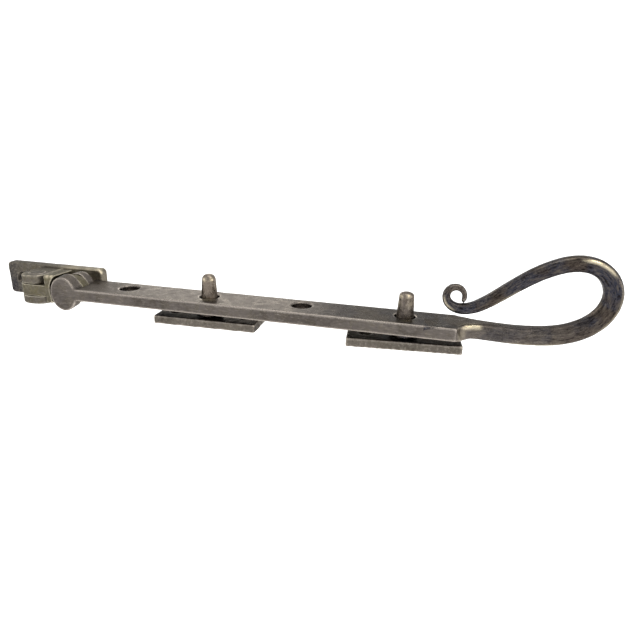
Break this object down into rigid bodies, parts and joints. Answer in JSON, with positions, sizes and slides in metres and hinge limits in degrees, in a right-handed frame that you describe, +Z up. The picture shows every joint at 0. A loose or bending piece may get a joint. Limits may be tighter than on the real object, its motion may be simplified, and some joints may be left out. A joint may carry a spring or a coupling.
{
  "type": "casement window stay",
  "caption": "Hand-forged casement window stay: crook-handled flat arm with punched holes on a two-way hinge, with screw-down locating pegs.",
  "frame": {"origin": "on the fixing plate's back face, in line with the swing pin and level with the arm's middle plane", "axes": "+X along the arm to the crook, +Y out of the fixing plate's back, +Z up"},
  "size_m": [0.2991, 0.0259, 0.0455],
  "materials": {
    "bar_metal": "hand-forged mild steel, dark pewter patina, hammered, edges worn lighter",
    "fixing_metal": "forged steel, dark pewter patina with a slight olive tint",
    "link_metal": "forged steel, dark pewter patina with an olive tint, worn at the edges",
    "pin_metal": "riveted steel pin, dark patina",
    "peg_metal": "turned steel, dark patina worn lighter",
    "peg_plate_metal": "flat forged steel, dark pewter patina"
  },
  "bodies": {
    "fixing": {"fixing_plate": "fixing_metal", "swing_pin": "pin_metal"},
    "swivel": {"swivel_link": "link_metal"},
    "arm": {"stay_arm": "bar_metal", "lift_pin": "pin_metal"},
    "inner_stand": {"inner_peg": "peg_metal", "inner_peg_plate": "peg_plate_metal"},
    "outer_stand": {"outer_peg": "peg_metal", "outer_peg_plate": "peg_plate_metal"}
  },
  "joints": [
    {"name": "swing", "type": "hinge", "parent": "fixing", "child": "swivel", "pos_m": [0, -0.0158, 0], "axis": [0, 0, -1], "range_deg": [0, 180]},
    {"name": "lift", "type": "hinge", "parent": "swivel", "child": "arm", "pos_m": [0.0214, -0.0158, -0.0002], "axis": [0, -1, 0], "range_deg": [-105, 105]},
    {"name": "inner_stand_off", "type": "slide", "parent": "arm", "child": "inner_stand", "axis": [0, 0, -1], "range_m": [0, 0.025]},
    {"name": "outer_stand_off", "type": "slide", "parent": "arm", "child": "outer_stand", "axis": [0, 0, -1], "range_m": [0, 0.025]}
  ]
}
